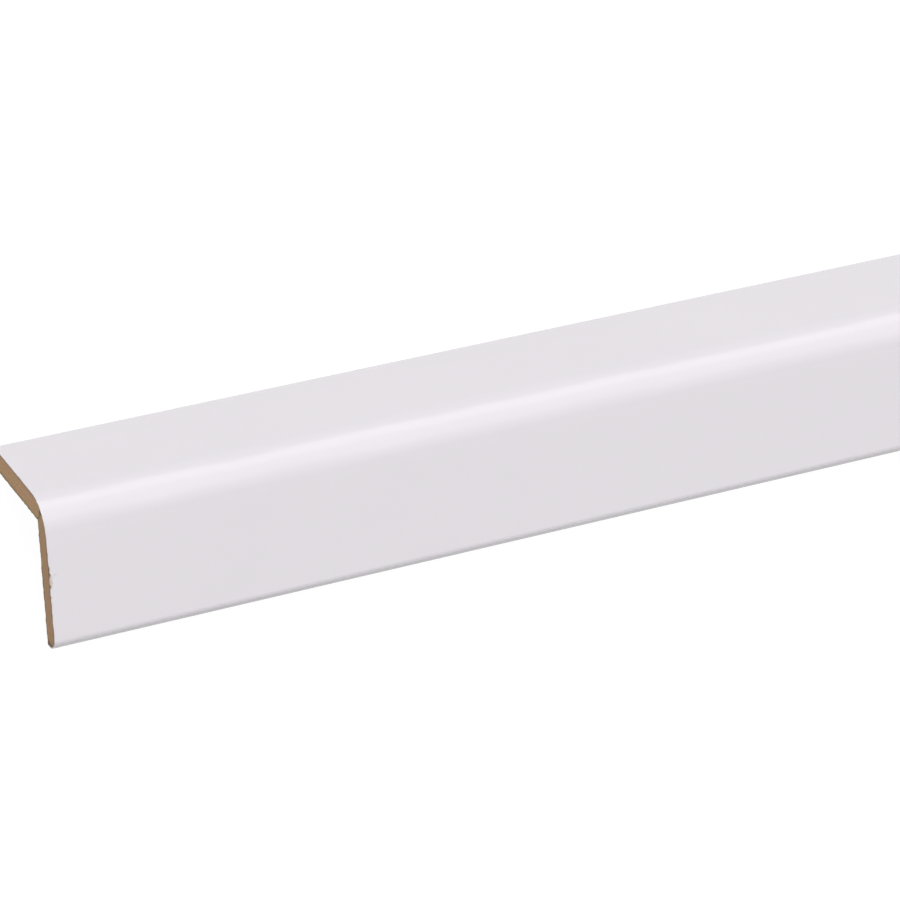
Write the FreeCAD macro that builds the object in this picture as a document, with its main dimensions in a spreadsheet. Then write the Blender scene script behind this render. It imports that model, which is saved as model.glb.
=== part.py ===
"""White foil-wrapped corner guard moulding, one full length of stock.

The moulding is an equal-leg angle. Two narrow strips of fibreboard meet at a 45 degree
mitre, and one white decorative foil is glued over both outer faces, round the rounded
corner between them and round the two rounded noses. Each nose turns tightly where it
leaves the leg's face, and more gently from half way round. The inner faces, which are
glued to the wall's corner, are bare board.

Frame, in millimetres: X runs along the moulding, Z is up. The moulding stands like a
roof on its two noses, with the rounded corner as its ridge along the X axis. The origin
is on the floor under the ridge, half way along. The back leg falls towards +Y and the
front leg towards -Y. The end at -X is the one that the photograph shows.

Each section is drawn in the moulding's own section plane. There the corner's two outer
faces meet in a sharp corner at the origin, the back leg runs along the first axis, and
the front leg runs down the second one.
"""
import FreeCAD, Part
import math
import os
import Sketcher

# Driving dimensions, as (word in the sheet, value, meaning)
DIMENSIONS = [
    ("stock_length", 2400.0, "length of the moulding as it is sold"),
    ("leg_width", 28.0, "outer width of each leg, from the sharp corner to the nose"),
    ("board_thickness", 4.0, "thickness of the fibreboard strips"),
    ("foil_thickness", 0.25, "thickness of the foil with its glue"),
    ("corner_radius", 6.0, "radius of the rounded corner, outside the foil"),
    ("nose_radius", 2.0, "radius where a leg's face turns into its nose, outside the foil"),
    ("tip_radius", 4.0, "wider radius of the nose from half way round, outside the foil"),
    ("stand_angle", 45.0, "angle in degrees by which each leg slopes to the floor"),
]

# Sizes that follow from them, as (word in the sheet, formula in the sheet's own cells)
DERIVED = [
    ("leg_thickness", "=board_thickness + foil_thickness"),
    ("board_corner_radius", "=corner_radius - foil_thickness"),
    ("board_nose_radius", "=nose_radius - foil_thickness"),
    ("board_tip_radius", "=tip_radius - foil_thickness"),
    ("board_reach", "=leg_width - foil_thickness"),
    ("tip_centre", "=leg_width - tip_radius"),
    ("nose_start", "=tip_centre + (tip_radius - nose_radius) * sin(45deg)"),
    ("nose_end", "=nose_radius + (tip_radius - nose_radius) * cos(45deg)"),
    ("ridge_height", "=(leg_width + leg_thickness) * cos(stand_angle * 1deg)"),
]

# Points of a sketch's geometry, and its origin
START, END, CENTRE = 1, 2, 3
ORIGIN = (-1, START)
FACING_RIGHT = 0
RIGHT_AND_UP = math.radians(45)
FACING_UP = math.radians(90)
TOWARDS_RIDGE = math.radians(135)
FACING_LEFT = math.radians(180)
LEFT_AND_DOWN = math.radians(225)
FACING_DOWN = math.radians(270)
MITRE_SLOPE = math.radians(45)
VOLUME_TOLERANCE = 1e-6


def make_sheet(doc):
    """Put the driving dimensions and the derived sizes in a spreadsheet."""
    sheet = doc.addObject("Spreadsheet::Sheet", "Sizes")
    row = 1
    for word, value, meaning in DIMENSIONS:
        sheet.set("A%d" % row, word)
        sheet.set("B%d" % row, str(value))
        sheet.set("C%d" % row, meaning)
        sheet.setAlias("B%d" % row, word)
        row += 1
    for word, formula in DERIVED:
        sheet.set("A%d" % row, word)
        sheet.set("B%d" % row, formula)
        sheet.setAlias("B%d" % row, word)
        row += 1
    doc.recompute()
    return sheet


def vector(across, up):
    """A point of the section plane."""
    return FreeCAD.Vector(across, up, 0)


class Outline:
    """One closed outline in a sketch, drawn with lines and arcs and bound to the sheet."""

    def __init__(self, body, name):
        plane = next(f for f in body.Origin.OriginFeatures if f.Role == "YZ_Plane")
        self.sketch = body.newObject("Sketcher::SketchObject", name)
        self.sketch.AttachmentSupport = [(plane, "")]
        self.sketch.MapMode = "FlatFace"

    def line(self, start, end):
        """A straight edge, level or upright ones marked as such."""
        edge = self.sketch.addGeometry(Part.LineSegment(vector(*start), vector(*end)), False)
        if start[0] == end[0]:
            self.sketch.addConstraint(Sketcher.Constraint("Vertical", edge))
        elif start[1] == end[1]:
            self.sketch.addConstraint(Sketcher.Constraint("Horizontal", edge))
        return edge

    def arc(self, centre, radius, first_angle, last_angle):
        """A round edge, drawn anticlockwise from the first angle to the last."""
        circle = Part.Circle(vector(*centre), FreeCAD.Vector(0, 0, 1), radius)
        return self.sketch.addGeometry(Part.ArcOfCircle(circle, first_angle, last_angle), False)

    def join(self, edge, point, other, other_point):
        """Join the ends of two edges at a corner."""
        self.sketch.addConstraint(
            Sketcher.Constraint("Coincident", edge, point, other, other_point))

    def blend(self, edge, point, other, other_point):
        """Join the ends of two edges so that one runs smoothly into the other."""
        self.sketch.addConstraint(
            Sketcher.Constraint("Tangent", edge, point, other, other_point))

    def size(self, kind, references, value, word):
        """Add a dimension and bind it to a cell of the sheet."""
        index = self.sketch.addConstraint(Sketcher.Constraint(kind, *references, value))
        self.sketch.setExpression("Constraints[%d]" % index, "Sizes.%s" % word)

    def radius(self, edge, value, word):
        """The radius of an arc."""
        self.size("Radius", (edge,), value, word)

    def across(self, edge, point, value, word):
        """The distance of a point from the origin along the section's first axis."""
        self.size("DistanceX", ORIGIN + (edge, point), value, word)

    def below(self, edge, point, value, word):
        """The distance of a point below the origin."""
        self.size("DistanceY", (edge, point) + ORIGIN, value, word)


def make_body(doc, name):
    """An empty body that stands on the floor with both legs sloping down from the ridge."""
    body = doc.addObject("PartDesign::Body", name)
    body.Label = name
    body.Placement = FreeCAD.Placement(
        FreeCAD.Vector(0, 0, 0), FreeCAD.Rotation(FreeCAD.Vector(1, 0, 0), -45))
    body.setExpression("Placement.Base.z", "Sizes.ridge_height * 1mm")
    body.setExpression("Placement.Rotation.Angle", "-Sizes.stand_angle * 1deg")
    return body


def extrude(body, sketch, name):
    """Run a section along the whole moulding, half to each side of its middle."""
    pad = body.newObject("PartDesign::Pad", name)
    pad.Profile = sketch
    pad.SideType = "Symmetric"
    pad.setExpression("Length", "Sizes.stock_length * 1mm")
    sketch.Visibility = False
    return pad


def front_nose(outline, sizes, tight_radius, wide_radius):
    """The nose of the front leg, from its face to its flat, with the two radii of these names."""
    tight = outline.arc((sizes.nose_radius, -sizes.nose_start), getattr(sizes, tight_radius),
                        FACING_LEFT, LEFT_AND_DOWN)
    wide = outline.arc((sizes.nose_end, -sizes.tip_centre), getattr(sizes, wide_radius),
                       LEFT_AND_DOWN, FACING_DOWN)
    outline.blend(tight, END, wide, START)
    outline.radius(tight, getattr(sizes, tight_radius), tight_radius)
    outline.radius(wide, getattr(sizes, wide_radius), wide_radius)
    outline.across(wide, CENTRE, sizes.nose_end, "nose_end")
    return tight, wide


def back_nose(outline, sizes, tight_radius, wide_radius):
    """The nose of the back leg, from its flat to its face, with the two radii of these names."""
    wide = outline.arc((sizes.tip_centre, -sizes.nose_end), getattr(sizes, wide_radius),
                       FACING_RIGHT, RIGHT_AND_UP)
    tight = outline.arc((sizes.nose_start, -sizes.nose_radius), getattr(sizes, tight_radius),
                        RIGHT_AND_UP, FACING_UP)
    outline.blend(wide, END, tight, START)
    outline.radius(tight, getattr(sizes, tight_radius), tight_radius)
    outline.radius(wide, getattr(sizes, wide_radius), wide_radius)
    outline.below(wide, CENTRE, sizes.nose_end, "nose_end")
    return wide, tight


def front_strip(doc, sizes):
    """The fibreboard strip of the front leg, from the mitre down to its nose."""
    body = make_body(doc, "front_leg")
    outline = Outline(body, "front_leg_section")
    skin = sizes.foil_thickness
    inner = sizes.leg_thickness
    middle = sizes.corner_radius
    reach = sizes.board_reach
    bend = middle - sizes.board_corner_radius * math.cos(MITRE_SLOPE)

    corner = outline.arc((middle, -middle), sizes.board_corner_radius,
                         TOWARDS_RIDGE, FACING_LEFT)
    outer_face = outline.line((skin, -middle), (skin, -sizes.nose_start))
    nose, tip = front_nose(outline, sizes, "board_nose_radius", "board_tip_radius")
    nose_flat = outline.line((sizes.nose_end, -reach), (inner, -reach))
    inner_face = outline.line((inner, -reach), (inner, -inner))
    mitre = outline.line((inner, -inner), (bend, -bend))

    outline.blend(corner, END, outer_face, START)
    outline.blend(outer_face, END, nose, START)
    outline.blend(tip, END, nose_flat, START)
    outline.join(nose_flat, END, inner_face, START)
    outline.join(inner_face, END, mitre, START)
    outline.join(mitre, END, corner, START)
    outline.across(corner, CENTRE, middle, "corner_radius")
    outline.below(corner, CENTRE, middle, "corner_radius")
    outline.radius(corner, sizes.board_corner_radius, "board_corner_radius")
    outline.below(nose_flat, START, reach, "board_reach")
    outline.across(inner_face, START, inner, "leg_thickness")
    outline.below(inner_face, END, inner, "leg_thickness")
    outline.sketch.addConstraint(Sketcher.Constraint("Angle", mitre, TOWARDS_RIDGE))
    extrude(body, outline.sketch, "front_leg_length")
    return body


def back_strip(doc, sizes):
    """The fibreboard strip of the back leg: the front one turned over the mitre plane."""
    body = make_body(doc, "back_leg")
    outline = Outline(body, "back_leg_section")
    skin = sizes.foil_thickness
    inner = sizes.leg_thickness
    middle = sizes.corner_radius
    reach = sizes.board_reach
    bend = middle - sizes.board_corner_radius * math.cos(MITRE_SLOPE)

    corner = outline.arc((middle, -middle), sizes.board_corner_radius,
                         FACING_UP, TOWARDS_RIDGE)
    mitre = outline.line((bend, -bend), (inner, -inner))
    inner_face = outline.line((inner, -inner), (reach, -inner))
    nose_flat = outline.line((reach, -inner), (reach, -sizes.nose_end))
    tip, nose = back_nose(outline, sizes, "board_nose_radius", "board_tip_radius")
    outer_face = outline.line((sizes.nose_start, -skin), (middle, -skin))

    outline.join(corner, END, mitre, START)
    outline.join(mitre, END, inner_face, START)
    outline.join(inner_face, END, nose_flat, START)
    outline.blend(nose_flat, END, tip, START)
    outline.blend(nose, END, outer_face, START)
    outline.blend(outer_face, END, corner, START)
    outline.across(corner, CENTRE, middle, "corner_radius")
    outline.below(corner, CENTRE, middle, "corner_radius")
    outline.radius(corner, sizes.board_corner_radius, "board_corner_radius")
    outline.across(nose_flat, START, reach, "board_reach")
    outline.below(inner_face, START, inner, "leg_thickness")
    outline.across(inner_face, START, inner, "leg_thickness")
    outline.sketch.addConstraint(Sketcher.Constraint("Angle", mitre, -MITRE_SLOPE))
    extrude(body, outline.sketch, "back_leg_length")
    return body


def foil(doc, sizes):
    """The foil, in one piece from the inner edge of one nose to that of the other."""
    body = make_body(doc, "foil_wrap")
    outline = Outline(body, "foil_wrap_section")
    skin = sizes.foil_thickness
    inner = sizes.leg_thickness
    middle = sizes.corner_radius
    nose_start = sizes.nose_start
    nose_end = sizes.nose_end
    width = sizes.leg_width
    reach = sizes.board_reach

    # The outer side, from the back leg's nose over the corner to the front leg's nose
    back_flat = outline.line((width, -inner), (width, -nose_end))
    back_wide, back_tight = back_nose(outline, sizes, "nose_radius", "tip_radius")
    back_face = outline.line((nose_start, 0), (middle, 0))
    corner = outline.arc((middle, -middle), middle, FACING_UP, FACING_LEFT)
    front_face = outline.line((0, -middle), (0, -nose_start))
    front_tight, front_wide = front_nose(outline, sizes, "nose_radius", "tip_radius")
    front_flat = outline.line((nose_end, -width), (inner, -width))
    outline.blend(back_flat, END, back_wide, START)
    outline.blend(back_tight, END, back_face, START)
    outline.blend(back_face, END, corner, START)
    outline.blend(corner, END, front_face, START)
    outline.blend(front_face, END, front_tight, START)
    outline.blend(front_wide, END, front_flat, START)

    # The glued side, back again
    front_edge = outline.line((inner, -width), (inner, -reach))
    front_flat_glue = outline.line((inner, -reach), (nose_end, -reach))
    front_tight_glue, front_wide_glue = front_nose(
        outline, sizes, "board_nose_radius", "board_tip_radius")
    front_glue = outline.line((skin, -nose_start), (skin, -middle))
    corner_glue = outline.arc((middle, -middle), sizes.board_corner_radius,
                              FACING_UP, FACING_LEFT)
    back_glue = outline.line((middle, -skin), (nose_start, -skin))
    back_wide_glue, back_tight_glue = back_nose(
        outline, sizes, "board_nose_radius", "board_tip_radius")
    back_flat_glue = outline.line((reach, -nose_end), (reach, -inner))
    back_edge = outline.line((reach, -inner), (width, -inner))
    outline.join(front_flat, END, front_edge, START)
    outline.join(front_edge, END, front_flat_glue, START)
    outline.blend(front_flat_glue, END, front_wide_glue, END)
    outline.blend(front_tight_glue, START, front_glue, START)
    outline.blend(front_glue, END, corner_glue, END)
    outline.blend(corner_glue, START, back_glue, START)
    outline.blend(back_glue, END, back_tight_glue, END)
    outline.blend(back_wide_glue, START, back_flat_glue, START)
    outline.join(back_flat_glue, END, back_edge, START)
    outline.join(back_edge, END, back_flat, START)

    # The sizes of the outer side, and the foil's thickness all round
    outline.across(corner, CENTRE, middle, "corner_radius")
    outline.below(corner, CENTRE, middle, "corner_radius")
    outline.radius(corner, middle, "corner_radius")
    outline.across(back_flat, START, width, "leg_width")
    outline.below(back_flat, START, inner, "leg_thickness")
    outline.below(front_flat, END, width, "leg_width")
    outline.across(front_flat, END, inner, "leg_thickness")
    outline.join(corner_glue, CENTRE, corner, CENTRE)
    outline.radius(corner_glue, sizes.board_corner_radius, "board_corner_radius")
    outline.across(back_edge, START, reach, "board_reach")
    outline.below(front_edge, END, reach, "board_reach")
    extrude(body, outline.sketch, "foil_wrap_length")
    return body


def nose_gap(sizes):
    """The area between the square corner that a strip would have and its rounded nose."""
    tight = sizes.board_nose_radius
    wide = sizes.board_tip_radius
    across = sizes.board_reach - sizes.nose_start
    down = sizes.nose_end - sizes.foil_thickness
    two_sectors = math.pi / 8 * (tight ** 2 + wide ** 2)
    shared = (wide - tight) ** 2 / 4
    return across * down - (two_sectors - shared)


def section_area(sizes):
    """The areas in square millimetres that the foil and one strip must have."""
    corner_gap = (1 - math.pi / 4) * sizes.board_corner_radius ** 2
    straight = 2 * (sizes.nose_start - sizes.corner_radius)
    flats = 2 * (sizes.leg_thickness - sizes.nose_end)
    bends = math.pi / 4 * (
        sizes.corner_radius ** 2 - sizes.board_corner_radius ** 2
        + sizes.nose_radius ** 2 - sizes.board_nose_radius ** 2
        + sizes.tip_radius ** 2 - sizes.board_tip_radius ** 2)
    foil_area = (straight + flats) * sizes.foil_thickness + bends
    board = sizes.board_reach - sizes.foil_thickness
    two_strips = (
        board ** 2 - (sizes.board_reach - sizes.leg_thickness) ** 2
        - corner_gap - 2 * nose_gap(sizes))
    return foil_area, two_strips / 2


def check(doc, bodies):
    """Stop if any object failed, or if a piece is not one whole solid."""
    for item in doc.Objects:
        if "Invalid" in item.State or "Error" in item.State:
            raise RuntimeError("%s is %s" % (item.Name, item.State))
    for body in bodies:
        shape = body.Shape
        if shape.isNull() or not shape.isValid() or len(shape.Solids) != 1:
            raise RuntimeError("%s is not one valid solid" % body.Label)


def main():
    """Build the document, check it, and write each piece to a file of its own."""
    doc = FreeCAD.newDocument("corner_guard")
    sizes = make_sheet(doc)
    front_leg = front_strip(doc, sizes)
    back_leg = back_strip(doc, sizes)
    foil_wrap = foil(doc, sizes)
    bodies = [front_leg, back_leg, foil_wrap]
    doc.recompute()
    check(doc, bodies)

    foil_area, strip_area = section_area(sizes)
    expected = {front_leg: strip_area, back_leg: strip_area, foil_wrap: foil_area}
    os.makedirs("parts", exist_ok=True)
    for body in bodies:
        volume = expected[body] * sizes.stock_length
        if abs(body.Shape.Volume / volume - 1) > VOLUME_TOLERANCE:
            raise RuntimeError("%s has the wrong volume" % body.Label)
        body.Shape.exportStep("parts/%s.step" % body.Label)
        print("%s %.1f cm3" % (body.Label, body.Shape.Volume / 1000))


main()
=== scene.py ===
import math

import bpy
import numpy as np
from mathutils import Matrix, Vector


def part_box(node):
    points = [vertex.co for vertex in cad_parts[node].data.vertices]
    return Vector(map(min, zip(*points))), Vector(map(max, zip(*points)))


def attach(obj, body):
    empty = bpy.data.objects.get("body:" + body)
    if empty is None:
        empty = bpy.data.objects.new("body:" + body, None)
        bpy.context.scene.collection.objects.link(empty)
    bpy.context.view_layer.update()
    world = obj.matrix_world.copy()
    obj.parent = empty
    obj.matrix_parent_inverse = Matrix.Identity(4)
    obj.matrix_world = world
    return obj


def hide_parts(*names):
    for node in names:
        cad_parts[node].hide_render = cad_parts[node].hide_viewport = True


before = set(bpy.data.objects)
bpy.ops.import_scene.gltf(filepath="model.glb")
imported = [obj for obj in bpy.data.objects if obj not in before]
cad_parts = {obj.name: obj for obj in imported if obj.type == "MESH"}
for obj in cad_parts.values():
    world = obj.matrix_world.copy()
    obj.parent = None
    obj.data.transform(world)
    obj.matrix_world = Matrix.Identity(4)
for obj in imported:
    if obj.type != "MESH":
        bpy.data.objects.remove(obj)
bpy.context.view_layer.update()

MM = 0.001
EIGHTH_TURN = math.radians(45)
QUARTER_TURN = math.radians(90)

# The moulding's section, in metres: two equal legs at right angles, one foil over both.
LEG_WIDTH = 28.0 * MM
BOARD_THICKNESS = 4.0 * MM
FOIL_THICKNESS = 0.25 * MM
CORNER_RADIUS = 6.0 * MM
NOSE_RADIUS = 2.0 * MM
TIP_RADIUS = 4.0 * MM
LEG_THICKNESS = BOARD_THICKNESS + FOIL_THICKNESS
CORNER_HALF = CORNER_RADIUS * EIGHTH_TURN

# Where each leg's face turns into its nose, as a reach, and where the nose's flat begins, as a depth.
NOSE_START = LEG_WIDTH - TIP_RADIUS + (TIP_RADIUS - NOSE_RADIUS) * math.sin(EIGHTH_TURN)
NOSE_END = NOSE_RADIUS + (TIP_RADIUS - NOSE_RADIUS) * math.cos(EIGHTH_TURN)

# How the legs stand: the sides they fall to, and the sine and cosine of the slope of both.
FRONT = -1
BACK = 1
SLOPE = math.sqrt(0.5)
RIDGE_HEIGHT = (LEG_WIDTH + LEG_THICKNESS) * SLOPE

# The void under the foil at the mitre, in each board: its depth and its reach along the outline.
FRONT_VOID = (0.42 * MM, 0.42 * MM)
BACK_VOID = (1.05 * MM, 0.65 * MM)

# The two sawn ends, from the frame.
NEAR_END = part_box("foil_wrap")[0][0]
FAR_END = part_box("foil_wrap")[1][0]
LENGTH = FAR_END - NEAR_END

# How finely the section is divided.
ARC_STEP = 0.3 * MM
FACE_STEP = 0.5 * MM
FLAT_STEP = 0.15 * MM
CHIP_STEP = 0.13 * MM
BOARD_STEP = 0.13 * MM
BOARD_LAYERS = 31
SHARP_ANGLE = math.radians(40)

# Where the foil's section is drawn, from the near end as first, last and step: close together where
# the saw broke the foil, evenly as far as the photograph shows, and wide apart beyond. The last
# ones are counted from the far end.
SAWN_STATIONS = (0.1 * MM, 2.2 * MM, 0.1 * MM)
SEEN_STATIONS = (4.0 * MM, 174.0 * MM, 2.5 * MM)
MIDDLE_STEP = 30 * MM
MIDDLE_STOP = 12 * MM
FAR_STATIONS = np.array([6.0, 3.0, 2.2, 1.8, 1.4, 1.0, 0.7, 0.4, 0.2]) * MM

# The same for the boards, which are plain between their ends.
BOARD_END_STATIONS = np.array([0.3, 0.6, 1.2, 2.5]) * MM
BOARD_MIDDLE_START = 6 * MM
BOARD_MIDDLE_STEP = 40 * MM

# Seeds of the unevenness. Further draws of the same kind count on from them, and those at a
# board's far end lie FAR_END_SEEDS further on.
SEEDS = {
    "foil_edge": 11,
    "chips": 16,
    "trim": 23,
    "fine_trim": 24,
    "corner": 37,
    "face": 41,
    "front_board": 53,
    "far_foil_edge": 71,
    "back_board": 153,
}
FAR_END_SEEDS = 9
LATTICE = 512


# Smooth unevenness, worked out on whole arrays

def wander(place, wavelength, seed):
    """Unevenness along a line, from -1 to 1: a seeded value at every wavelength, joined by the
    ease curve 3t^2 - 2t^3."""
    cells = np.asarray(place) / wavelength
    cell = np.floor(cells).astype(int)
    t = cells - cell
    ease = t * t * (3 - 2 * t)
    values = np.random.default_rng(seed).uniform(-1, 1, LATTICE)
    return values[cell % LATTICE] * (1 - ease) + values[(cell + 1) % LATTICE] * ease


def mottle(first, second, grain, seed):
    """Unevenness over a surface, from -1 to 1: seeded values on a lattice with the two grains,
    joined along both directions by the ease curve 3t^2 - 2t^3."""
    values = np.random.default_rng(seed).uniform(-1, 1, (LATTICE, LATTICE))
    u = np.asarray(first) / grain[0]
    v = np.asarray(second) / grain[1]
    i = np.floor(u).astype(int)
    j = np.floor(v).astype(int)
    s = u - i
    t = v - j
    s = s * s * (3 - 2 * s)
    t = t * t * (3 - 2 * t)
    i0, i1, j0, j1 = i % LATTICE, (i + 1) % LATTICE, j % LATTICE, (j + 1) % LATTICE
    low = values[i0, j0] * (1 - s) + values[i1, j0] * s
    high = values[i0, j1] * (1 - s) + values[i1, j1] * s
    return low * (1 - t) + high * t


def hump(distance, half_width):
    """A smooth hump of height 1 that falls away as exp(-(distance / half_width)^2)."""
    return np.exp(-((distance / half_width) ** 2))


# The section of one leg, as (reach down the leg from the sharp corner, depth in from its face)

def steps(first, last, step):
    """Evenly spaced values from first to last, about one step apart, both ends included."""
    return np.linspace(first, last, max(2, int(round(abs(last - first) / step)) + 1))


def leg_outline(offset, face_reaches, start_angle=EIGHTH_TURN):
    """Half of the section's outline, at an offset inside the outer surface: the corner's arc from
    the mitre to the face, the face, and the nose's two arcs, a tight one and a wide one, each
    turning by 45 degrees."""
    turn = steps(start_angle, 0, ARC_STEP / CORNER_RADIUS)
    corner_arc = CORNER_RADIUS - (CORNER_RADIUS - offset) * np.array([np.sin(turn), np.cos(turn)]).T
    face = np.column_stack([face_reaches, np.full(len(face_reaches), offset)])
    turn = steps(0, EIGHTH_TURN, ARC_STEP / NOSE_RADIUS)
    tight_arc = (NOSE_RADIUS - offset) * np.array([np.sin(turn), -np.cos(turn)]).T
    tight_arc += (NOSE_START, NOSE_RADIUS)
    turn = steps(EIGHTH_TURN, QUARTER_TURN, ARC_STEP / TIP_RADIUS)[1:]
    wide_arc = (TIP_RADIUS - offset) * np.array([np.sin(turn), -np.cos(turn)]).T
    wide_arc += (LEG_WIDTH - TIP_RADIUS, NOSE_END)
    return np.vstack([corner_arc, face[1:-1], tight_arc, wide_arc])


def outline_length(points):
    """How far along an outline each of its points lies."""
    pieces = np.linalg.norm(np.diff(points, axis=0), axis=1)
    return np.concatenate([[0.0], np.cumsum(pieces)])


def standing(along, reach, depth, side):
    """Leg coordinates put in the frame: the legs slope down from the ridge at 45 degrees, the front
    leg towards -Y and the back leg towards +Y."""
    y = side * (reach - depth) * SLOPE
    z = RIDGE_HEIGHT - (reach + depth) * SLOPE
    return np.stack(np.broadcast_arrays(along, y, z), axis=-1)


# Meshes

def rim(grid):
    """The rim of a grid of points or values, in order all the way round it."""
    return np.concatenate([grid[:, 0], grid[-1, 1:], grid[-2::-1, -1], grid[0, -2:0:-1]])


def grid_faces(ids):
    """The four-sided faces of a grid of vertex numbers."""
    a, b, c, d = ids[:-1, :-1], ids[1:, :-1], ids[1:, 1:], ids[:-1, 1:]
    return np.stack([a, b, c, d], axis=-1).reshape(-1, 4)


def stock(name, near_cap, rings, far_cap, flip):
    """A closed length of stock: a grid over each sawn end, and rings of points between them that
    carry the grid's rim from one end to the other. flip turns its faces over, so that those of
    either leg point outwards."""
    rows, columns = near_cap.shape[:2]
    cap_ids = np.arange(rows * columns).reshape(rows, columns)
    ring_ids = rows * columns + np.arange(rings.shape[0] * rings.shape[1]).reshape(rings.shape[:2])
    far_ids = cap_ids + rows * columns + ring_ids.size
    tube = np.vstack([rim(cap_ids), ring_ids, rim(far_ids)])
    tube = np.hstack([tube, tube[:, :1]])
    faces = np.vstack([grid_faces(cap_ids), grid_faces(tube), grid_faces(far_ids)[:, ::-1]])
    if flip:
        faces = faces[:, ::-1]
    points = np.vstack([near_cap.reshape(-1, 3), rings.reshape(-1, 3), far_cap.reshape(-1, 3)])
    mesh = bpy.data.meshes.new(name)
    mesh.vertices.add(len(points))
    mesh.vertices.foreach_set("co", points.ravel())
    mesh.loops.add(faces.size)
    mesh.loops.foreach_set("vertex_index", faces.ravel())
    mesh.polygons.add(len(faces))
    mesh.polygons.foreach_set("loop_start", np.arange(0, faces.size, 4))
    mesh.update(calc_edges=True)
    mesh.shade_smooth()
    mesh.set_sharp_from_angle(angle=SHARP_ANGLE)
    piece = bpy.data.objects.new(name, mesh)
    bpy.context.scene.collection.objects.link(piece)
    return piece


def mark(piece, name, values):
    """Keeps one number for each vertex, which the piece's finish reads."""
    layer = piece.data.attributes.new(name, "FLOAT", "POINT")
    layer.data.foreach_set("value", np.ascontiguousarray(values, dtype=np.float32).ravel())


def mark_place(piece, name, values):
    """Keeps one place for each vertex, which the piece's finish reads."""
    layer = piece.data.attributes.new(name, "FLOAT_VECTOR", "POINT")
    layer.data.foreach_set("vector", np.ascontiguousarray(values, dtype=np.float32).ravel())


# The foil: one skin round both legs, broken a little where the saw came through

# The foil stops short of the inner face, and its trimmed edge wanders by a coarse and a fine grain.
FOIL_STOP = 0.25 * MM
TRIM_WOBBLE = 0.12 * MM
TRIM_GRAIN = 21 * MM
FINE_TRIM_GRAIN = 4 * MM
FINE_TRIM_SHARE = 0.5

# Shallow waves in the corner, and far weaker ones in the faces.
CORNER_WAVE = 0.065 * MM
CORNER_WAVE_LEVEL = 1.35
CORNER_WAVE_HALF = 1.25 * CORNER_HALF
CORNER_GRAIN = (9.0 * MM, 3.4 * MM)
FACE_RIPPLE = 0.004 * MM
FACE_GRAIN = (9.0 * MM, 5.0 * MM)

# How the saw broke the edge: a fine raggedness and deeper nicks, each as (depth, grain). A smaller
# share of it reaches the glued side, and it fades out along the moulding.
RAGGEDNESS = (0.030 * MM, 0.35 * MM)
NICKS = (0.16 * MM, 1.3 * MM)
NICK_THRESHOLD = 0.45
GLUED_SIDE_BREAK = 0.55
SAW_PLAY = 2.2 * MM

# Chips along the near end's edge of the front leg: reach, half width and depth.
CHIPS = (
    (11.9 * MM, 0.60 * MM, 0.15 * MM),
    (12.9 * MM, 0.38 * MM, 0.32 * MM),
    (15.1 * MM, 0.30 * MM, 0.26 * MM),
    (17.1 * MM, 0.30 * MM, 0.12 * MM),
)
CHIP_ZONE = (10.4 * MM, 17.8 * MM)
CHIP_LEVEL = 0.9
CHIP_PLAY = 0.25
CHIP_GRAIN = 0.3 * MM

# A chip of this depth bares the paper fully, and the bare paper shows about as far in.
BARED_DEPTH = 0.30 * MM

# Where the foil's paper is laid bare beside them: reach, half width and how far in from the end.
FRAY = (14.1 * MM, 0.80 * MM, 0.48 * MM)

# Small dents in the foil there: reach, how far in from the end, radius and depth.
DENTS = (
    (13.05 * MM, 1.10 * MM, 0.25 * MM, 0.13 * MM),
    (13.60 * MM, 0.65 * MM, 0.22 * MM, 0.06 * MM),
)


def nose_flat(offset):
    """The flat of the nose, from the end of its round to where the foil stops."""
    depths = steps(NOSE_END, LEG_THICKNESS - FOIL_STOP, FLAT_STEP)[1:]
    return np.column_stack([np.full(len(depths), LEG_WIDTH - offset), depths])


def face_reaches():
    """Where the points of a leg's face lie: finer where the sawn edge is chipped."""
    plain_top = steps(CORNER_RADIUS, CHIP_ZONE[0], FACE_STEP)
    chipped = steps(CHIP_ZONE[0], CHIP_ZONE[1], CHIP_STEP)
    plain_bottom = steps(CHIP_ZONE[1], NOSE_START, FACE_STEP)
    return np.concatenate([plain_top, chipped[1:-1], plain_bottom])


def foil_stations():
    """Distances from the near end at which the foil's section is drawn."""
    sawn = steps(*SAWN_STATIONS)
    seen = steps(*SEEN_STATIONS)
    middle = steps(seen[-1], LENGTH - MIDDLE_STOP, MIDDLE_STEP)[1:]
    return np.concatenate([sawn, seen, middle, LENGTH - FAR_STATIONS])


def broken_edge(place, seed):
    """How far the foil is broken back from the saw cut, at each place along its outline: a fine
    raggedness, with a deeper nick wherever a slower unevenness rises above its threshold."""
    fine = RAGGEDNESS[0] * (1 + wander(place, RAGGEDNESS[1], seed))
    nicks = NICKS[0] * np.clip(wander(place, NICKS[1], seed + 1) - NICK_THRESHOLD, 0, 1)
    return fine + nicks


def photographed_chips(reach):
    """The chips that the front leg's near end shows: ragged humps cut into the sawn edge."""
    chips = sum(depth * hump(reach - centre, half) for centre, half, depth in CHIPS)
    return chips * (CHIP_LEVEL + CHIP_PLAY * wander(reach, CHIP_GRAIN, SEEDS["chips"]))


def photographed_dents(distance, reach):
    """The dents that the front leg's foil shows near that edge: smooth round hollows."""
    return sum(depth * hump(np.hypot(distance - inset, reach - centre), radius)
               for centre, inset, radius, depth in DENTS)


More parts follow.
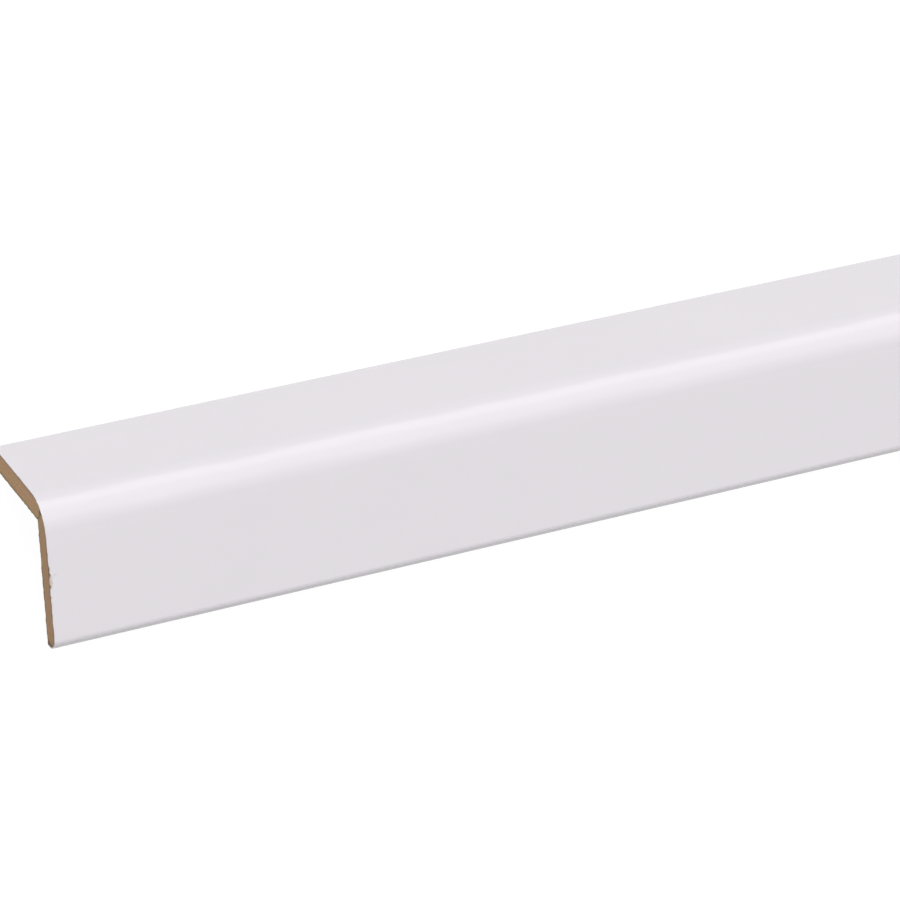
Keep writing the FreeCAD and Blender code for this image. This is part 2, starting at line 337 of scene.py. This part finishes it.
def foil_wrap():
    """The foil as a closed shell: its glued and its outer outline run side by side from one nose
    over the ridge to the other, carried along the length. Shallow waves lie in the corner, and
    the trimmed edges at the noses wander."""
    reaches = face_reaches()
    outer = np.vstack([leg_outline(0.0, reaches), nose_flat(0.0)])
    glued = np.vstack([leg_outline(FOIL_THICKNESS, reaches), nose_flat(FOIL_THICKNESS)])
    outwards = (outer - glued) / FOIL_THICKNESS

    def both_legs(values):
        """One leg's values, last to first, and then the other leg's, which share the ridge."""
        return np.concatenate([values[::-1], values[1:]])

    def two_layers(on_glued_side, outside):
        """Values for both legs, in two columns: the glued side and the outside."""
        return np.column_stack([both_legs(on_glued_side), both_legs(outside)])

    side = np.concatenate([np.full(len(outer), FRONT), np.full(len(outer) - 1, BACK)])
    place = side * both_legs(outline_length(outer))
    section = {
        "reach": two_layers(glued[:, 0], outer[:, 0]),
        "depth": two_layers(glued[:, 1], outer[:, 1]),
        "out_reach": two_layers(outwards[:, 0], outwards[:, 0]),
        "out_depth": two_layers(outwards[:, 1], outwards[:, 1]),
        "side": np.column_stack([side, side]),
        "place": np.column_stack([place, place]),
        "layer": np.tile([0.0, 1.0], (len(place), 1)),
    }

    def surface(distance, part):
        """Points of the foil at a distance from the near end, where part holds the section's
        values: the outside is lowered by the waves and the dents, and both sides end where the
        wandering trim cuts them."""
        arc = np.clip(1 - np.abs(part["place"]) / CORNER_WAVE_HALF, 0, 1)
        wave = mottle(distance, part["place"], CORNER_GRAIN, SEEDS["corner"])
        ripple = mottle(distance, part["place"], FACE_GRAIN, SEEDS["face"])
        sunk = CORNER_WAVE * (CORNER_WAVE_LEVEL + wave) * arc * (2 - arc) + FACE_RIPPLE * (1 + ripple)
        sunk = sunk + photographed_dents(distance, part["reach"]) * (part["side"] == FRONT)
        sunk = sunk * part["layer"]
        end = np.clip((part["depth"] - NOSE_END) / (LEG_THICKNESS - FOIL_STOP - NOSE_END), 0, 1)
        trim = wander(distance * part["side"], TRIM_GRAIN, SEEDS["trim"])
        trim = trim + FINE_TRIM_SHARE * wander(distance, FINE_TRIM_GRAIN, SEEDS["fine_trim"])
        short = TRIM_WOBBLE * np.clip(trim, 0, 1) * end
        new_reach = part["reach"] - part["out_reach"] * sunk
        new_depth = part["depth"] - part["out_depth"] * sunk - short
        return standing(NEAR_END + distance, new_reach, new_depth, part["side"])

    chips = np.where(section["side"] == FRONT, photographed_chips(section["reach"][:, 1:]), 0)
    share = GLUED_SIDE_BREAK + (1 - GLUED_SIDE_BREAK) * section["layer"]
    near_breaks = (broken_edge(section["place"], SEEDS["foil_edge"]) + chips) * share
    far_breaks = broken_edge(section["place"], SEEDS["far_foil_edge"]) * share

    ring = {name: rim(values)[None, :] for name, values in section.items()}
    plain = foil_stations()[:, None]
    near_push = np.clip(1 - plain / SAW_PLAY, 0, 1) * rim(near_breaks)[None, :]
    far_push = np.clip(1 - (LENGTH - plain) / SAW_PLAY, 0, 1) * rim(far_breaks)[None, :]
    distance = plain + near_push - far_push
    near_cap = surface(near_breaks, section)
    far_cap = surface(LENGTH - far_breaks, section)
    piece = stock("foil_skin", near_cap, surface(distance, ring), far_cap, flip=True)

    def frayed(distance, part):
        """How much of the foil's paper shows: along the chips, and in the frayed place by them."""
        chipped = photographed_chips(part["reach"]) / BARED_DEPTH * hump(distance, BARED_DEPTH)
        bared = hump(part["reach"] - FRAY[0], FRAY[1]) * hump(distance, FRAY[2])
        return np.where(part["side"] == FRONT, np.clip(chipped + bared, 0, 1), 0)

    def turned_under(part):
        """How far the foil is turned at a point of the nose, from 0 on the face to 1 on the flat."""
        turn = np.arctan2(part["out_reach"], -part["out_depth"]) / QUARTER_TURN
        return turn * part["layer"] * (part["reach"] > LEG_WIDTH / 2)

    def over_void(part):
        """How much painted shade the foil's glued side gets: 1 where the void between the boards lies
        under it, and 0 away from the mitre."""
        return hump(part["place"], BACK_VOID[1]) * (1 - part["layer"])

    def on_all(of_part):
        """One number for each vertex, in the order of the mesh, from a function of its values."""
        along = np.broadcast_to(of_part(ring), distance.shape)
        return np.concatenate([of_part(section).ravel(), along.ravel(), of_part(section).ravel()])

    near_fray = [frayed(near_breaks, section).ravel(), frayed(distance, ring).ravel()]
    mark(piece, "frayed", np.concatenate(near_fray + [np.zeros(far_breaks.size)]))
    mark(piece, "white_side", on_all(lambda part: part["layer"]))
    mark(piece, "turned_under", on_all(turned_under))
    # Painted shade on the foil's glued side over the void.
    mark(piece, "hollow", on_all(over_void))
    return piece


# The boards: one mitred strip in each leg

# The mitre: the gap between the strips, the wear of its rims as (depth, half width), and how dark
# the glue line is.
SEAM_GAP = 0.05 * MM
SEAM_WEAR = (0.05 * MM, 0.10 * MM)
SEAM_SHADE = 0.30
SEAM_SHADE_WIDTH = 0.15 * MM

# How much painted shade the void gets on the sawn ends and inside; it ends at VOID_FADE times its depth.
VOID_SHARE_ON_ENDS = 0.7
VOID_SHARE_INSIDE = 1.0
VOID_FADE = 1.8

# The nose's inner corner is rounded, and the glue under the foil has a thickness.
TIP_EASE = 0.22 * MM
TIP_BEND = 2.0 * MM
GLUE_LINE = 0.006 * MM

# The sawn ends: pits between the fibres, fine pits, the saw's scratches and the worn inner rim.
PIT_DEPTH = 0.07 * MM
PIT_GRAIN = (0.9 * MM, 0.22 * MM)
FINE_PIT_DEPTH = 0.04 * MM
FINE_PIT_GRAIN = (0.3 * MM, 0.15 * MM)
SCRATCH_DEPTH = 0.012 * MM
SCRATCH_SPACING = 0.75 * MM
SCRATCH_SLANT = 0.35
RIM_WEAR = (0.035 * MM, 0.12 * MM)
RIM_LEVEL = 1.2
RIM_GRAIN = 0.6 * MM

# How much grime lies on each strip.
FRONT_DULLNESS = 0.19
BACK_DULLNESS = 0.0


def off_mitre(reach, depth):
    """How far a point of the section lies from the mitre's plane."""
    return (reach - depth) * SLOPE


def saw_relief(reach, depth, seed):
    """How deep the sawn end of a board lies behind the cut's plane: pits between the fibres, which
    lie along the leg, the saw's fine scratches, and worn rims at the inner face and the mitre."""
    pits = PIT_DEPTH * np.clip(mottle(reach, depth, PIT_GRAIN, seed), 0, 1)
    fine_pits = FINE_PIT_DEPTH * np.clip(mottle(reach, depth, FINE_PIT_GRAIN, seed + 1), 0, 1)
    sweep = (reach + SCRATCH_SLANT * depth) * (2 * math.pi / SCRATCH_SPACING)
    scratches = SCRATCH_DEPTH * (0.5 + 0.5 * np.sin(sweep))
    uneven = RIM_LEVEL + wander(reach, RIM_GRAIN, seed + 2)
    inner_rim = RIM_WEAR[0] * hump(LEG_THICKNESS - depth, RIM_WEAR[1]) * uneven
    seam_rim = SEAM_WEAR[0] * hump(off_mitre(reach, depth), SEAM_WEAR[1])
    return pits + fine_pits + scratches + inner_rim + seam_rim


def eased(reach, depth):
    """Reaches with the nose's inner corner rounded: near the nose they are drawn in, in proportion,
    to a quarter circle of radius TIP_EASE at the inner face."""
    into_corner = np.clip(depth - (LEG_THICKNESS - TIP_EASE), 0, TIP_EASE)
    drawn_in = TIP_EASE - np.sqrt(TIP_EASE ** 2 - into_corner ** 2)
    share = np.clip((reach - (LEG_WIDTH - TIP_BEND)) / TIP_BEND, 0, 1)
    return reach - drawn_in * share


def board(name, side, seed, void, dullness):
    """A mitred strip: its section is a grid of straight lines drawn between the inner face and the
    outer outline under the foil, and it is carried along the length. A void of the given depth
    and reach is left under the foil at the mitre. dullness is how much grime lies on the strip."""
    reaches = steps(CORNER_RADIUS, NOSE_START, BOARD_STEP)
    offset = FOIL_THICKNESS + GLUE_LINE
    gap_angle = SEAM_GAP / (CORNER_RADIUS - offset)
    outer = leg_outline(offset, reaches, EIGHTH_TURN - gap_angle)
    towards_centre = np.clip(CORNER_RADIUS - outer, 0, None)
    towards_centre /= np.maximum(np.linalg.norm(towards_centre, axis=1), offset)[:, None]
    outer = outer + towards_centre * void[0] * hump(outline_length(outer), void[1])[:, None]
    first_inner = LEG_THICKNESS + SEAM_GAP * math.sqrt(2)
    spread = (outer[:, 0] - outer[0, 0]) / (outer[-1, 0] - outer[0, 0])
    inner_reach = first_inner + spread * (LEG_WIDTH - offset - first_inner)
    across = np.linspace(0, 1, BOARD_LAYERS)[None, :]
    reach = inner_reach[:, None] * (1 - across) + outer[:, :1] * across
    depth = LEG_THICKNESS * (1 - across) + outer[:, 1:] * across
    reach = eased(reach, depth)

    near_relief = saw_relief(reach, depth, seed)
    far_relief = saw_relief(reach, depth, seed + FAR_END_SEEDS)
    near_cap = standing(NEAR_END + near_relief, reach, depth, side)
    far_cap = standing(FAR_END - far_relief, reach, depth, side)
    middle = steps(BOARD_MIDDLE_START, LENGTH - BOARD_MIDDLE_START, BOARD_MIDDLE_STEP)
    plain = np.concatenate([BOARD_END_STATIONS, middle, LENGTH - BOARD_END_STATIONS[::-1]])[:, None]
    ring_reach = np.broadcast_to(rim(reach)[None, :], (len(plain), rim(reach).size))
    ring_depth = np.broadcast_to(rim(depth)[None, :], ring_reach.shape)
    rings = standing(NEAR_END + plain, ring_reach, ring_depth, side)
    piece = stock(name, near_cap, rings, far_cap, flip=side == BACK)

    def lie(distance, reach, depth):
        """The place in the board: along the length, down the leg and in from its outer face."""
        return np.stack(np.broadcast_arrays(distance, reach, depth), axis=-1).reshape(-1, 3)

    def hollow(reach, depth, void_share):
        """How dark the glue line is along the mitre, and the painted shade of the void, on the ends and
        inside it.
        """
        from_mitre = off_mitre(reach, depth)
        below = CORNER_RADIUS - offset - np.hypot(CORNER_RADIUS - reach, CORNER_RADIUS - depth)
        under_foil = np.clip(VOID_FADE - below / void[0], 0, 1)
        return np.maximum(SEAM_SHADE * hump(from_mitre, SEAM_SHADE_WIDTH),
                          void_share * hump(from_mitre, void[1]) * under_foil)

    near_places = lie(near_relief, reach, depth)
    ring_places = lie(plain, ring_reach, ring_depth)
    far_places = lie(LENGTH - far_relief, reach, depth)
    relief = [near_relief.ravel(), np.zeros(ring_reach.size), far_relief.ravel()]
    on_end = hollow(reach, depth, VOID_SHARE_ON_ENDS).ravel()
    inside = hollow(ring_reach, ring_depth, VOID_SHARE_INSIDE).ravel()
    mark_place(piece, "lie", np.vstack([near_places, ring_places, far_places]))
    mark(piece, "pitted", np.concatenate(relief) / MM)
    mark(piece, "hollow", np.concatenate([on_end, inside, on_end]))
    mark(piece, "dulled", np.full(len(piece.data.vertices), dullness))
    return piece


# Finishes

# Where a Mix node keeps its two colours and its result.
FIRST_COLOUR = 6
SECOND_COLOUR = 7
MIXED_COLOUR = 2


class Finish:
    """One material and short calls that add its nodes and join them."""

    def __init__(self, name):
        self.material = bpy.data.materials.new(name)
        self.material.use_nodes = True
        self.tree = self.material.node_tree
        self.surface = self.tree.nodes["Principled BSDF"]

    def node(self, kind, inputs=(), **settings):
        """A node of that kind, with its settings and with values or other sockets on its inputs."""
        node = self.tree.nodes.new(kind)
        for key, value in settings.items():
            setattr(node, key, value)
        for key, value in dict(inputs).items():
            self.put(node.inputs[key], value)
        return node

    def put(self, socket, value):
        """A value set on a socket, or another socket joined to it."""
        if isinstance(value, bpy.types.NodeSocket):
            self.tree.links.new(value, socket)
        else:
            socket.default_value = value

    def number(self, name):
        """The number that a piece keeps under this name."""
        return self.node("ShaderNodeAttribute", attribute_name=name).outputs["Fac"]

    def place(self, name):
        """The place that a piece keeps under this name."""
        return self.node("ShaderNodeAttribute", attribute_name=name).outputs["Vector"]

    def stretched(self, where, scale):
        """Places whose three directions are scaled, so that a noise on them comes out drawn."""
        return self.node("ShaderNodeMapping", {"Vector": where, "Scale": scale}).outputs["Vector"]

    def noise(self, where, size, detail=2.0, rough=0.55):
        """Noise from 0 to 1 whose blotches are about size metres across."""
        inputs = {"Vector": where, "Scale": 1 / size, "Detail": detail, "Roughness": rough}
        return self.node("ShaderNodeTexNoise", inputs).outputs["Fac"]

    def span(self, value, low, high, to_low=0.0, to_high=1.0):
        """The stretch from low to high laid out from to_low to to_high, and held beyond it."""
        inputs = {"Value": value, "From Min": low, "From Max": high, "To Min": to_low, "To Max": to_high}
        return self.node("ShaderNodeMapRange", inputs).outputs["Result"]

    def blend(self, share, first, second):
        """One colour turning into the other as share goes from 0 to 1."""
        node = self.node("ShaderNodeMix", data_type="RGBA")
        self.put(node.inputs["Factor"], share)
        self.put(node.inputs[FIRST_COLOUR], first)
        self.put(node.inputs[SECOND_COLOUR], second)
        return node.outputs[MIXED_COLOUR]

    def sum(self, first, second, share=1.0):
        """first plus share times second."""
        node = self.node("ShaderNodeMath", operation="MULTIPLY_ADD")
        self.put(node.inputs[0], second)
        self.put(node.inputs[1], share)
        self.put(node.inputs[2], first)
        return node.outputs[0]

    def bumps(self, height, distance, under=None):
        """A relief whose height of 1 stands distance metres high, laid over another relief."""
        inputs = {"Height": height, "Distance": distance, "Strength": 1.0}
        if under is not None:
            inputs["Normal"] = under
        return self.node("ShaderNodeBump", inputs).outputs["Normal"]


# The foil: its white, the painted shade on its turned-under nose, its paper and its glue.
WHITE = (0.810, 0.774, 0.816, 1)
WHITE_SHADED = (0.790, 0.754, 0.800, 1)
NOSE_PAINTED_SHADE = (0.360, 0.350, 0.370, 1)
FOIL_PAPER = (0.600, 0.500, 0.440, 1)
FOIL_GLUE = (0.420, 0.300, 0.200, 1)
FOIL_GLOSS = 0.75
FOIL_ROUGHNESS = (0.17, 0.22)

# How far the foil is turned where the nose's painted shade begins and is full, and where it fades out
# again.
NOSE_SHADE_RISE = (0.17, 0.75)
NOSE_SHADE_FALL = (0.62, 1.0)
NOSE_SHADE_ON_FLAT = 0.25

# The board: its fibres, its dense skins, the glue on its tip, and the darker end of its tip.
BOARD_BROWN = (0.546, 0.328, 0.191, 1)
BOARD_RED = (0.588, 0.319, 0.213, 1)
BOARD_OLIVE = (0.494, 0.340, 0.172, 1)
BOARD_DARK = (0.315, 0.190, 0.114, 1)
BOARD_LIGHT = (0.672, 0.464, 0.291, 1)
BOARD_DULL = (0.160, 0.120, 0.080, 1)
BOARD_SKIN = (0.250, 0.175, 0.145, 1)
BOARD_BARE_SKIN = (0.210, 0.165, 0.100, 1)
TIP_GLUE = (0.270, 0.165, 0.140, 1)
TIP_DARKER = (0.120, 0.110, 0.090, 1)
VOID_SHADE = (0.130, 0.085, 0.110, 1)
BOARD_GLOSS = 0.3
BOARD_ROUGHNESS = (0.84, 0.94)

# Depths and reaches at which the board's skins, the glue and the darker tip begin and end.
SKIN_UNDER_FOIL = (FOIL_THICKNESS, FOIL_THICKNESS + 0.55 * MM)
SKIN_INSIDE = (LEG_THICKNESS - 0.75 * MM, LEG_THICKNESS - 0.15 * MM)
TIP_GLUE_RISE = (LEG_WIDTH - 1.8 * MM, LEG_WIDTH - 0.9 * MM)
TIP_DARKER_RISE = (LEG_WIDTH - 1.0 * MM, LEG_WIDTH - 0.5 * MM)


def white_foil():
    """Satin white foil: an almost even white with a fine orange peel and faint lengthwise draw
    lines, painted shade where the nose turns under, brownish paper where the edge is chipped,
    brown glue on the other side, and painted shade on it where the void lies under it."""
    f = Finish("white_foil")
    where = f.node("ShaderNodeTexCoord").outputs["Object"]
    clouds = f.noise(where, size=18 * MM)
    colour = f.blend(clouds, WHITE, WHITE_SHADED)

    # Painted shade: the nose is darkened where it turns under, unevenly, and less on its flat.
    turned_under = f.number("turned_under")
    bent = f.span(turned_under, *NOSE_SHADE_RISE)
    uneven = f.sum(bent, f.noise(where, size=5 * MM, detail=3.0), share=bent)
    fading = f.span(turned_under, *NOSE_SHADE_FALL, to_low=1.0, to_high=NOSE_SHADE_ON_FLAT)
    nose_shade = f.sum(0.0, f.span(uneven, low=0.0, high=1.6), share=fading)
    colour = f.blend(nose_shade, colour, NOSE_PAINTED_SHADE)

    torn = f.noise(where, size=0.35 * MM)
    frayed = f.sum(f.number("frayed"), torn, share=0.25)
    colour = f.blend(f.span(frayed, low=0.25, high=0.75), colour, FOIL_PAPER)
    white_side = f.span(f.number("white_side"), low=0.45, high=0.65)
    colour = f.blend(white_side, FOIL_GLUE, colour)
    # Painted shade where the void lies under the foil's glued side.
    colour = f.blend(f.number("hollow"), colour, VOID_SHADE)

    drawn = f.stretched(where, scale=(0.04, 1, 1))
    relief = f.bumps(f.noise(where, size=2.4 * MM), distance=0.006 * MM)
    relief = f.bumps(f.noise(where, size=0.35 * MM), distance=0.0012 * MM, under=relief)
    relief = f.bumps(f.noise(drawn, size=0.6 * MM), distance=0.0015 * MM, under=relief)
    f.put(f.surface.inputs["Base Color"], colour)
    f.put(f.surface.inputs["Roughness"], f.span(clouds, 0.0, 1.0, *FOIL_ROUGHNESS))
    f.put(f.surface.inputs["Normal"], relief)
    f.surface.inputs["Specular IOR Level"].default_value = FOIL_GLOSS
    return f.material


def fibreboard():
    """Brown fibreboard: clumps and short fibres that lie flat in the board, darker dense skins at
    its two faces, glue at its tip and a darker last stretch there, painted shade in the sawn ends
    that deepens with their pits and worn rims, a dark glue line at the mitre and painted shade in the
    void."""
    f = Finish("fibreboard")
    place = f.place("lie")
    axes = f.node("ShaderNodeSeparateXYZ", {"Vector": place}).outputs
    reach, depth = axes["Y"], axes["Z"]
    laid = f.stretched(place, scale=(1, 1, 5))
    clumps = f.noise(place, size=2.6 * MM, detail=3.0)
    flushes = f.noise(laid, size=1.9 * MM)
    fibres = f.noise(laid, size=0.9 * MM, detail=4.0, rough=0.65)
    flecks = f.noise(laid, size=0.28 * MM)
    colour = f.blend(f.span(clumps, low=0.35, high=0.65), BOARD_BROWN, BOARD_OLIVE)
    colour = f.blend(f.span(flushes, low=0.48, high=0.70, to_high=0.8), colour, BOARD_RED)
    colour = f.blend(f.span(fibres, low=0.55, high=0.80, to_high=0.55), colour, BOARD_DARK)
    colour = f.blend(f.span(flecks, low=0.58, high=0.75, to_high=0.5), colour, BOARD_LIGHT)

    glued_skin = f.span(depth, *SKIN_UNDER_FOIL, to_low=0.85, to_high=0.0)
    colour = f.blend(glued_skin, colour, BOARD_SKIN)
    bare_skin = f.span(depth, *SKIN_INSIDE, to_high=0.85)
    colour = f.blend(bare_skin, colour, BOARD_BARE_SKIN)
    colour = f.blend(f.span(reach, *TIP_GLUE_RISE, to_high=0.8), colour, TIP_GLUE)
    # The last stretch of the tip is darker still.
    colour = f.blend(f.span(reach, *TIP_DARKER_RISE, to_high=0.8), colour, TIP_DARKER)
    colour = f.blend(f.number("dulled"), colour, BOARD_DULL)
    # Painted shade: the sawn ends grow darker the deeper their pits and worn rims lie.
    pitted = f.span(f.number("pitted"), low=0.04, high=0.22, to_high=0.7)
    colour = f.blend(pitted, colour, BOARD_DARK)
    # A dark glue line along the mitre, and painted shade in and around the void.
    colour = f.blend(f.number("hollow"), colour, VOID_SHADE)

    relief = f.bumps(fibres, distance=0.05 * MM)
    relief = f.bumps(flecks, distance=0.02 * MM, under=relief)
    f.put(f.surface.inputs["Base Color"], colour)
    f.put(f.surface.inputs["Roughness"], f.span(fibres, 0.3, 0.7, *BOARD_ROUGHNESS))
    f.put(f.surface.inputs["Normal"], relief)
    f.surface.inputs["Specular IOR Level"].default_value = BOARD_GLOSS
    return f.material


# The moulding

foil = foil_wrap()
front_board = board("front_board", FRONT, SEEDS["front_board"], FRONT_VOID, FRONT_DULLNESS)
back_board = board("back_board", BACK, SEEDS["back_board"], BACK_VOID, BACK_DULLNESS)
foil.data.materials.append(white_foil())
board_finish = fibreboard()
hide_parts("foil_wrap")
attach(foil, "root")
for strip, node in ((front_board, "front_leg"), (back_board, "back_leg")):
    strip.data.materials.append(board_finish)
    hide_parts(node)
    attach(strip, "root")


# Studio: pale floor, soft lamps, white surroundings

FLOOR_HALF = 60.0
FLOOR_GREY = (0.10, 0.10, 0.10, 1)
FLOOR_GLOW = 0.95
PURE_WHITE = (1, 1, 1, 1)
WORLD_LIGHT = 0.57

# The long lamps beside the moulding: name, the two edges in degrees from the upright of the level
# leg towards the front, and how bright they are beside a white surface.
STRIP_SOFTBOXES = (
    ("top_softbox", -10, 20, 1.21),
    ("upper_front_softbox", 20, 60, 0.48),
    ("front_softbox", 60, 104, 0.04),
    ("low_front_softbox", 104, 132, 0.92),
)
STRIP_DISTANCE = 1.6
STRIP_LENGTH = 5.0

# The lamp that lights the sawn end.
END_SOFTBOX = {
    "away": (-0.995, 0, 0.1),
    "distance": 3.1,
    "length": 2.0,
    "width": 2.0,
    "radiance": 1.09,
}

# Where the photograph's camera stood and aimed, while one leg lay level on top and the other hung.
VIEW_AZIMUTH = math.radians(23.614)
VIEW_ELEVATION = math.radians(25.938)
VIEW_ROLL = math.radians(-1.745)
VIEW_DISTANCE = 678.1 * MM
AIM_ALONG = 73.87 * MM
AIM_DOWN = 6.09 * MM
LENS = 156.415
SENSOR = 36.0
CLIP_START = 10 * MM
CLIP_END = 200.0


def turned(vector):
    """A direction or place seen with one leg level, turned with the moulding to where it stands."""
    return Matrix.Rotation(-EIGHTH_TURN, 3, "X") @ Vector(vector)


def camera():
    """The camera, aimed at the front leg's face a little way in from the near end."""
    sin_a, cos_a = math.sin(VIEW_AZIMUTH), math.cos(VIEW_AZIMUTH)
    sin_e, cos_e = math.sin(VIEW_ELEVATION), math.cos(VIEW_ELEVATION)
    forward = Vector((sin_a * cos_e, cos_a * cos_e, -sin_e))
    level_right = Vector((cos_a, -sin_a, 0))
    level_up = level_right.cross(forward)
    right = level_right * math.cos(VIEW_ROLL) + level_up * math.sin(VIEW_ROLL)
    up = right.cross(forward)
    aim = Vector((NEAR_END, 0, RIDGE_HEIGHT)) + turned((AIM_ALONG, 0, -AIM_DOWN))
    data = bpy.data.cameras.new("camera")
    data.sensor_width = SENSOR
    data.lens = LENS
    data.clip_start = CLIP_START
    data.clip_end = CLIP_END
    eye = bpy.data.objects.new("camera", data)
    axes = Matrix([turned(right), turned(up), turned(-forward)]).transposed().to_4x4()
    eye.matrix_world = Matrix.Translation(aim - turned(forward) * VIEW_DISTANCE) @ axes
    bpy.context.scene.collection.objects.link(eye)
    bpy.context.scene.camera = eye


def softbox(name, away, distance, length, width, radiance):
    """A flat white lamp that faces the moulding from a direction counted with one leg level, and
    whose length runs along the moulding."""
    data = bpy.data.lights.new(name, "AREA")
    data.shape = "RECTANGLE"
    data.size = length
    data.size_y = width
    data.energy = radiance * math.pi * length * width
    lamp = bpy.data.objects.new(name, data)
    away = turned(away)
    x_axis = (Vector((1, 0, 0)) - away * away.x).normalized()
    axes = Matrix([x_axis, away.cross(x_axis), away]).transposed().to_4x4()
    target = Vector((NEAR_END + LENGTH / 2, 0, 0))
    lamp.matrix_world = Matrix.Translation(target + away * distance) @ axes
    lamp.visible_camera = False
    bpy.context.scene.collection.objects.link(lamp)


def strip_softbox(name, near_edge, far_edge, radiance):
    """A long lamp beside the moulding that fills the sky between two angles in degrees."""
    angle = math.radians((near_edge + far_edge) / 2)
    width = 2 * STRIP_DISTANCE * math.tan(math.radians((far_edge - near_edge) / 2))
    softbox(name, (0, -math.sin(angle), math.cos(angle)), STRIP_DISTANCE, STRIP_LENGTH, width, radiance)


def seen_directly(nodes, links):
    """1 for rays from the camera, from a reflection or through glass, and 0 for rays of light."""
    path = nodes.new("ShaderNodeLightPath")
    share = path.outputs["Is Camera Ray"]
    for kind in ("Is Glossy Ray", "Is Transmission Ray"):
        both = nodes.new("ShaderNodeMath")
        both.operation = "MAXIMUM"
        links.new(share, both.inputs[0])
        links.new(path.outputs[kind], both.inputs[1])
        share = both.outputs[0]
    return share


def surroundings():
    """White all round for the camera and for reflections, and a plain soft light otherwise."""
    world = bpy.data.worlds.new("studio")
    world.use_nodes = True
    nodes, links = world.node_tree.nodes, world.node_tree.links
    light = nodes["Background"]
    light.inputs["Color"].default_value = PURE_WHITE
    light.inputs["Strength"].default_value = WORLD_LIGHT
    white = nodes.new("ShaderNodeBackground")
    white.inputs["Color"].default_value = PURE_WHITE
    white.inputs["Strength"].default_value = 1.0
    mix = nodes.new("ShaderNodeMixShader")
    links.new(seen_directly(nodes, links), mix.inputs[0])
    links.new(light.outputs[0], mix.inputs[1])
    links.new(white.outputs[0], mix.inputs[2])
    links.new(mix.outputs[0], nodes["World Output"].inputs["Surface"])
    bpy.context.scene.world = world


def floor():
    """A pale level floor under the noses: white to the camera, with the moulding's shadow on it."""
    mesh = bpy.data.meshes.new("floor")
    h = FLOOR_HALF
    mesh.from_pydata([(-h, -h, 0), (h, -h, 0), (h, h, 0), (-h, h, 0)], [], [(0, 1, 2, 3)])
    plane = bpy.data.objects.new("floor", mesh)
    bpy.context.scene.collection.objects.link(plane)
    material = bpy.data.materials.new("pale_floor")
    material.use_nodes = True
    nodes, links = material.node_tree.nodes, material.node_tree.links
    nodes.remove(nodes["Principled BSDF"])
    plain = nodes.new("ShaderNodeBsdfDiffuse")
    plain.inputs["Color"].default_value = FLOOR_GREY
    glow = nodes.new("ShaderNodeEmission")
    glow.inputs["Strength"].default_value = FLOOR_GLOW
    seen = nodes.new("ShaderNodeAddShader")
    mix = nodes.new("ShaderNodeMixShader")
    links.new(plain.outputs[0], seen.inputs[0])
    links.new(glow.outputs[0], seen.inputs[1])
    links.new(seen_directly(nodes, links), mix.inputs[0])
    links.new(plain.outputs[0], mix.inputs[1])
    links.new(seen.outputs[0], mix.inputs[2])
    links.new(mix.outputs[0], nodes["Material Output"].inputs["Surface"])
    mesh.materials.append(material)


camera()
surroundings()
floor()
for name, near_edge, far_edge, radiance in STRIP_SOFTBOXES:
    strip_softbox(name, near_edge, far_edge, radiance)
softbox("end_softbox", **END_SOFTBOX)
bpy.context.scene.view_settings.view_transform = "Standard"
